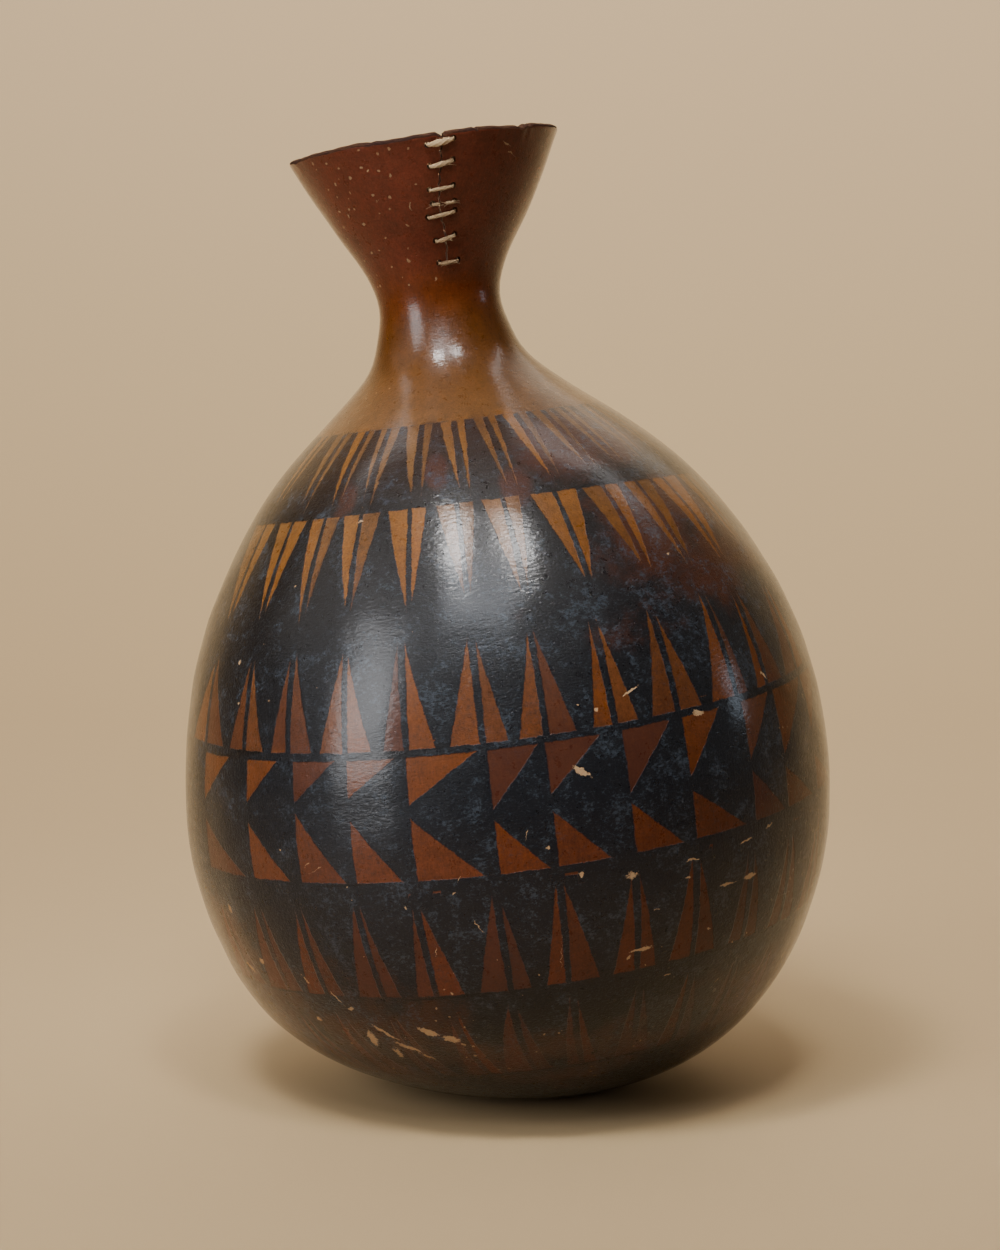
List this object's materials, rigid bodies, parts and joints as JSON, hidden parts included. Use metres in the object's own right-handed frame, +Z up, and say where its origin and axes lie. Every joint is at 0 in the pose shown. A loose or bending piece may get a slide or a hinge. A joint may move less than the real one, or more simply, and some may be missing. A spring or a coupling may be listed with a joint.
{
  "type": "dried bottle gourd",
  "caption": "Hollow dried bottle gourd with a round belly, narrow waist and flared cut mouth, banded with dark triangle patterns, its cracked rim laced with plant fibre.",
  "frame": {"origin": "middle of the flat spot under the belly that the gourd rests on", "axes": "+Z up, the laced and decorated front faces -Y, and the gourd's own axis leans 8 degrees from +Z towards -X"},
  "size_m": [0.2011, 0.2015, 0.2996],
  "materials": {
    "gourd_skin": "satin, hand-polished dried rind, blackened and scraped in triangle bands",
    "plant_fibre": "matt dry plant fibre"
  },
  "bodies": {
    "root": {"gourd_shell": "gourd_skin", "lacing_upper": "plant_fibre", "lacing_lower": "plant_fibre"}
  },
  "joints": []
}
